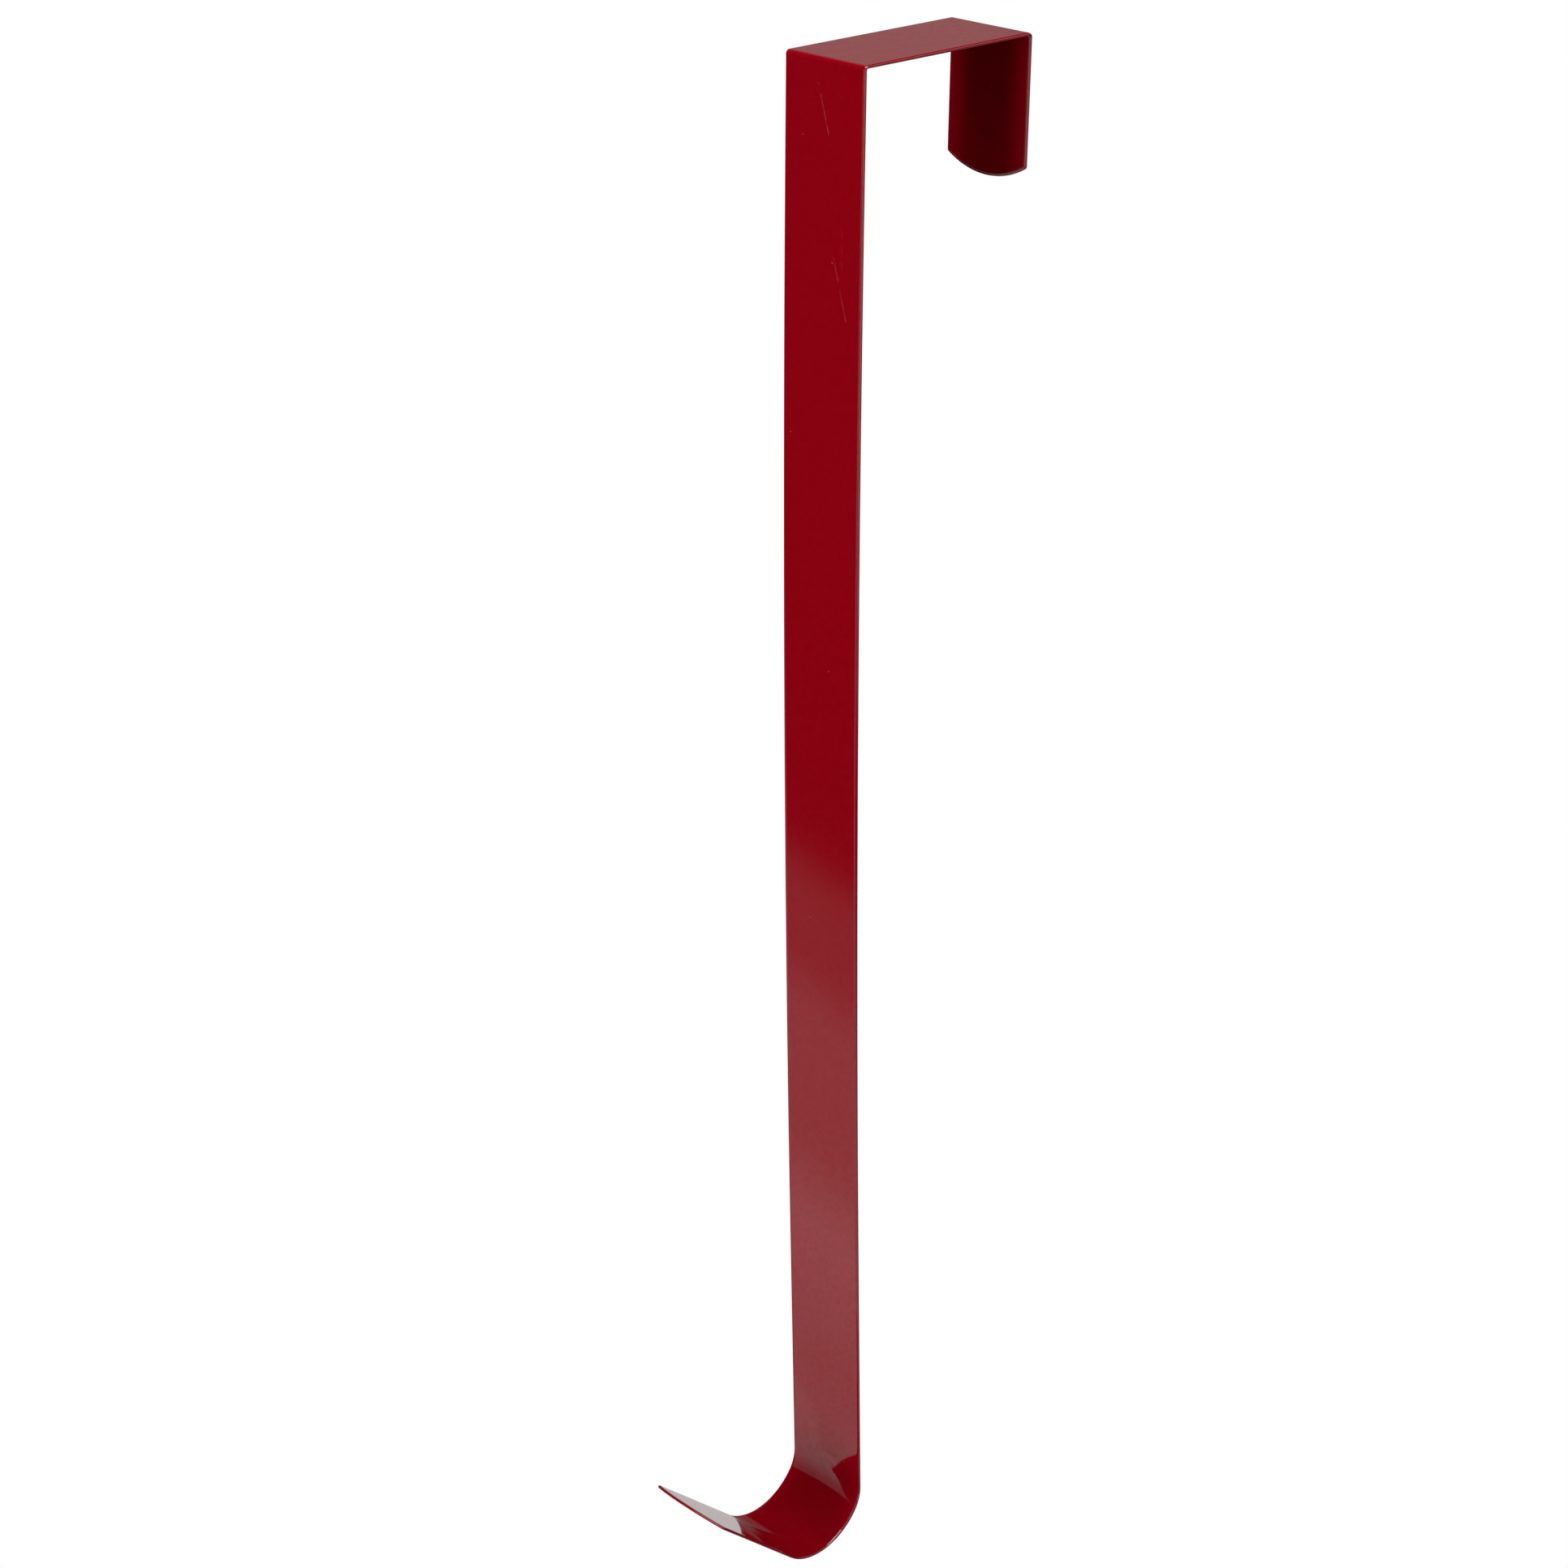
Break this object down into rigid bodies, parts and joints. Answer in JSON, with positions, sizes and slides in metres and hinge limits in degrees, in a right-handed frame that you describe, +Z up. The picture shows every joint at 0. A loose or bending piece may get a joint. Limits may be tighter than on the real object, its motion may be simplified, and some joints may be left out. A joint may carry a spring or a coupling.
{
  "type": "wreath hanger",
  "caption": "Over-the-door wreath hanger: a flat painted steel strip folded into a bridge and lip at the top and bent up into an open hook at the foot.",
  "frame": {"origin": "middle of the underside of the bridge, where the hanger sits on the top edge of a door", "axes": "+Z up, X across the strip's width, -Y towards the room with the hook, +Y behind the door with the lip"},
  "size_m": [0.0254, 0.1016, 0.4025],
  "materials": {
    "red_enamel": "glossy dark red enamel on sheet steel"
  },
  "bodies": {
    "root": {"hanger_strip": "red_enamel"}
  },
  "joints": []
}
